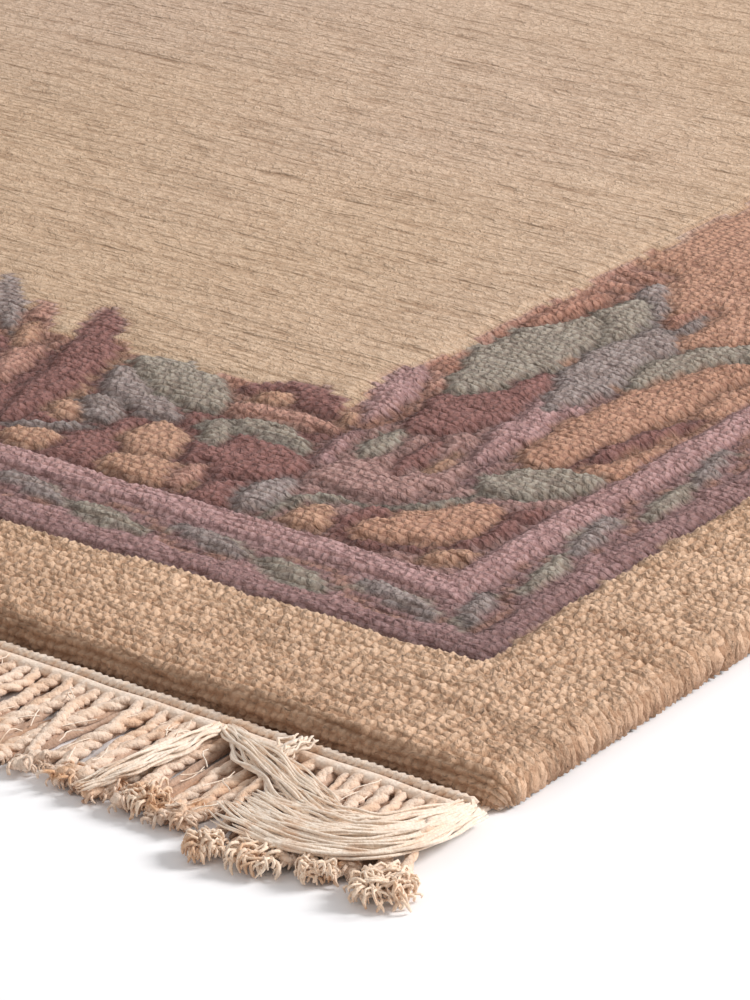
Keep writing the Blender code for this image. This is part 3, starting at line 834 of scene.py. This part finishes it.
def fuzzStrands(tips, end):
    strands = []
    h = looseHairs
    for tip, heading in tips:
        for _ in range(h["each"] if abs(tip[0]) < h["within"] else 0):
            long = uniform(0.006, 0.014)
            t = np.linspace(0, 1, 5)
            fromTip = uniform(0.004, 0.044)
            x = tip[0] - heading[0] / heading[1] * end * fromTip + 0.0016 * normal()
            x = x + long * 0.35 * normal() * t
            x = x + 0.0012 * normal() * np.sin(pi * t * 1.5)
            y = tip[1] - end * fromTip + end * long * (t - 0.5)
            z = h["rise"] + 0.0012 * normal() + 0.0010 * np.sin(pi * t) * normal()
            strands.append(np.column_stack([x, y, np.clip(z, h["low"], h["high"]), np.full(5, h["radius"])]))
    return strands


# slacker single ends that lie beneath the cords and close the floor between them; their cotton is darker, as
# painted shade
underEnds = dict(half=0.440, start=0.0075, length=0.050, radius=0.0015, tip=0.0008, clear=0.0002)


def underStrands(end, spacing):
    strands = []
    u = underEnds
    for place in np.arange(-u["half"], u["half"], spacing):
        x0 = place + normal() * 0.0010
        lean, long = normal() * 0.0050, u["length"] + normal() * 0.004
        t = np.linspace(0, 1, 10)
        x = x0 + lean * t + 0.0009 * normal() * np.sin(pi * t * uniform(2, 4) + uniform(0, 3))
        radius = np.array([u["radius"]] * 9 + [u["tip"]]) * uniform(0.8, 1.1) * uniform(0.8, 1.2, 10)
        y = end * (halfLength + u["start"] + long * t)
        strands.append(np.column_stack([x, y, radius + u["clear"], radius]))
    return strands


def curlStrand(start, turn, long, thick, count):
    # a thread that springs out, curls to one side and drops back
    t = np.linspace(0, 1, count)
    bend = dice.choice((-1, 1)) * uniform(0.35, 0.75)
    out, aside = long * np.sin(0.66 * pi * t), long * bend * (1 - np.cos(pi * t)) / 2
    x = start[0] + cos(turn) * out - sin(turn) * aside
    y = start[1] + sin(turn) * out + cos(turn) * aside
    z = start[2] + 0.0022 * uniform(0.2, 1.0) * np.sin(pi * t) - 0.0040 * dice.random() * t ** 2
    radius = thick * uniform(0.75, 1.3) * np.interp(t, (0, 0.8, 1), (1, 1, 0.6))
    return np.column_stack([x, y, np.clip(z, 0.0008, 0.0088), radius])


# the frayed end of each cord: matted lumps with short curly hairs
frayedEnd = dict(lump=(0.0010, 0.0019, 0.0022, 0.0018, 0.0009), lumpHalf=0.0028, top=0.0075,
                 hair=0.00052, hairShort=0.0024, hairLong=0.0048)


def tuftStrands(tips, hairs, lumps):
    strands = []
    f = frayedEnd
    for tip, heading in tips:
        ahead = heading / np.linalg.norm(heading)
        size = uniform(0.8, 1.35)
        for _ in range(lumps):
            turn = normal(size=3) * (0.9, 0.7, 0.25) + ahead
            turn /= np.linalg.norm(turn)
            steps = np.linspace(-f["lumpHalf"], f["lumpHalf"], 5)[:, None] * size
            knot = tip + turn * steps + normal(size=3) * (0.0015, 0.0013, 0.0005) + (0, 0, 0.0004)
            radius = np.array(f["lump"]) * size * uniform(0.7, 1.1)
            radius = radius * uniform(0.8, 1.2, 5)
            knot[:, 2] = np.clip(knot[:, 2], radius + 0.0001, f["top"] - radius)
            strands.append(np.column_stack([knot, radius]))
        for _ in range(hairs):
            start = tip + ahead * uniform(-0.003, 0.003) + (0, 0, uniform(-0.001, 0.002))
            turn = np.arctan2(ahead[1], ahead[0]) + uniform(-1.9, 1.9)
            long = size * uniform(f["hairShort"], f["hairLong"])
            strands.append(curlStrand(start, turn, long, f["hair"], 5))
    return strands


# fluffy heads where several cords have come undone together: x, y, reach
rosettes = ((0.4105, -1.5644, 0.0100),
            (0.4509, -1.5595, 0.0095),
            (0.3946, -1.5707, 0.0060),
            (0.4294, -1.5626, 0.0060),
            (0.3638, -1.5580, 0.0065))
rosetteHair = dict(perMetre=17000, radius=0.00050, spread=0.75, short=0.30, long=0.55)


def rosetteStrands():
    strands = []
    r = rosetteHair
    for x, y, reach in rosettes:
        for _ in range(int(reach * r["perMetre"])):
            turn = uniform(0, 2 * pi)
            off = reach * r["spread"] * np.sqrt(dice.random())
            start = np.array([x + off * cos(turn), y + off * sin(turn), uniform(0.0025, 0.0070) - 0.12 * off])
            turn += normal() * 1.3
            strands.append(curlStrand(start, turn, reach * uniform(r["short"], r["long"]), r["radius"], 5))
    return strands


def smoothPath(points, count):
    # a curve through a few points
    points = np.asarray(points, float)
    at = np.concatenate([[0], np.cumsum(np.linalg.norm(np.diff(points, axis=0), axis=1))])
    even = np.linspace(0, at[-1], count)
    path = np.stack([np.interp(even, at, points[:, k]) for k in range(points.shape[1])], 1)
    for _ in range(int(count / 3)):
        path[1:-1] = (path[:-2] + 2 * path[1:-1] + path[2:]) / 4
    return path


# the slack ends that lie over the near right corner, and one lock that crosses the cords beside them
slackRoutes = (
    # strands, half spread, radius, places along the middle in tenths of a millimetre
    (120, 0.014, 0.0005, (
        (4430, -15060, 40), (4425, -15200, 58), (4400, -15340, 66), (4330, -15450, 72), (4220, -15495, 74),
        (4090, -15485, 74), (3970, -15450, 72), (3850, -15410, 66))),
    (44, 0.007, 0.0005, (
        (3530, -15080, 50), (3620, -15135, 66), (3740, -15200, 78), (3880, -15275, 80), (4010, -15335, 80),
        (4180, -15400, 74))),
    (20, 0.0045, 0.0005, (
        (3520, -15100, 60), (3535, -15250, 75), (3520, -15400, 78), (3470, -15560, 70), (3400, -15680, 40))),
    (18, 0.0045, 0.00048, (
        (3806, -15230, 60), (3812, -15160, 80), (3818, -15080, 86), (3822, -15035, 92))),
    (14, 0.0034, 0.0005, (
        (2560, -15100, 60), (2640, -15240, 78), (2700, -15400, 80), (2690, -15550, 68))),
    (14, 0.0034, 0.0005, (
        (1500, -15110, 60), (1440, -15260, 78), (1380, -15420, 78), (1250, -15530, 64))),
)


def lockStrands(route, number, spread, radius, count=24):
    strands = []
    middle = smoothPath(route, count)
    ahead = np.gradient(middle, axis=0)
    side = np.stack([-ahead[:, 1], ahead[:, 0], 0 * ahead[:, 0]], 1)
    side /= np.linalg.norm(side, axis=1)[:, None]
    t = np.linspace(0, 1, count)
    for index in range(number):
        place = uniform(-1, 1)
        wide = spread * place * (0.25 + 0.75 * np.sin(pi * np.clip(t * 0.70 + 0.02, 0, 1)) ** 0.8)
        wobble = normal() * 0.12 * spread * np.sin(pi * t * 1.6 + uniform(0, 3))
        wobble += normal() * 0.0008 * np.sin(pi * t * uniform(3, 8) + uniform(0, 6))
        points = middle + side * (wide + wobble)[:, None]
        layer = 0.0022 * np.sqrt(max(0, 1 - place ** 2)) * uniform(-0.6, 1.0)
        points[:, 2] += layer * np.sin(pi * np.clip(t * 1.05, 0, 1)) + 0.0005 * normal()
        points[:, 2] += 0.0004 * np.sin(pi * t * uniform(5, 10) + uniform(0, 6))
        stop = int(count * uniform(0.78, 1.0))
        thin = radius * uniform(0.75, 1.35)
        size = np.full(stop, thin)
        size[-1] = thin * 0.4
        strands.append(np.column_stack([points[:stop], size]))
    return strands


# how the two ends differ: the photograph shows the near one only, so it has the finer strands
endTable = (
    # end, name, node, bevel of the cords, hairs, lumps, points a turn, spacing beneath
    (-1, "near", "end_band_near", 1, 12, 4, 6, 0.0030),
    (1, "far", "end_band_far", 0, 2, 2, 3, 0.0060),
)


def buildEnds():
    made = []
    for end, name, node, sides, hairs, lumps, turnPoints, spacing in endTable:
        made.append(strandPiece(name + "TwistedCord", bandStrands(end), 0, bandCotton, node))
        rib = strandPiece(name + "Rib", ribStrand(end), 2, bandCotton, node)
        rib.data.transform(Matrix.Translation((0, 0, band["ribRise"] * (1 - band["ribFlat"])))
                           @ Matrix.Diagonal((1, 1, band["ribFlat"], 1)))
        made.append(rib)
        cords, tips = cordStrands(end, turnPoints)
        made.append(strandPiece(name + "UnderStrands", underStrands(end, spacing), 0, underCottonShaded, node))
        if name == "near":
            made.append(strandPiece(name + "LooseFuzz", fuzzStrands(tips, end), 0, looseCotton, node))
        made.append(strandPiece(name + "FringeCords", cords, sides, cordCotton, node))
        made.append(strandPiece(name + "FrayedEnds", tuftStrands(tips, hairs, lumps), 0, cordCotton, node))
    slack = []
    for number, spread, radius, route in slackRoutes:
        slack += lockStrands(np.array(route) / 10000, number, spread, radius)
    made.append(strandPiece("slackEnds", slack, 0, looseCotton, "end_band_near"))
    made.append(strandPiece("undoneHeads", rosetteStrands(), 0, headCotton, "end_band_near"))
    return made


endPieces = buildEnds()
for piece in endPieces:
    piece.data.calc_loop_triangles()
print("ends built,", sum(len(piece.data.loop_triangles) for piece in endPieces), "triangles")


# woven strip under the cord and rib
strip = dict(inner=1.4955, outer=1.5105, low=0.0003, high=0.0021, round=0.0006)


def buildStrips():
    made = []
    size = (2 * band["half"], strip["outer"] - strip["inner"], strip["high"] - strip["low"])
    for end, name, node, *_ in endTable:
        middle = (0, end * (strip["inner"] + strip["outer"]) / 2, (strip["low"] + strip["high"]) / 2)
        piece = roundedBox(name + "Strip", size, middle, strip["round"], bandCotton)
        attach(piece, "root")
        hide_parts(node)
        made.append(piece)
    return made


stripPieces = buildStrips()


# pale floor and soft light from the right
room = dict(floor=6.0, paint=(0.93, 0.92, 0.93, 1), air=(1.0, 0.985, 0.98, 1), airPower=0.50)
lamps = (
    # name, place, what it points at, size, power
    ("keyLamp", (2.6, 0.9, 2.1), (0.3, -1.2, 0), 1.2, 165),
    ("fillLamp", (-2.0, -3.5, 2.6), (0.2, -1.2, 0), 2.5, 18),
)


def buildStage():
    bm = bmesh.new()
    bmesh.ops.create_grid(bm, x_segments=1, y_segments=1, size=room["floor"])
    mesh = bpy.data.meshes.new("floor")
    bm.to_mesh(mesh)
    bm.free()
    material, _, shader = newMaterial("floorPaint", 0.9, 0.0, 0.1)
    shader.inputs["Base Color"].default_value = room["paint"]
    mesh.materials.append(material)
    floor = addObject("floor", mesh)
    world = bpy.data.worlds.new("softRoom")
    world.use_nodes = True
    sky = world.node_tree.nodes["Background"].inputs
    sky[0].default_value = room["air"]
    sky[1].default_value = room["airPower"]
    bpy.context.scene.world = world
    for name, place, aim, size, power in lamps:
        data = bpy.data.lights.new(name, "AREA")
        data.size = size
        data.energy = power
        lamp = addObject(name, data)
        lamp.location = place
        lamp.rotation_euler = (Vector(aim) - Vector(place)).to_track_quat("-Z", "Y").to_euler()


buildStage()
bpy.context.scene.view_settings.view_transform = "Standard"
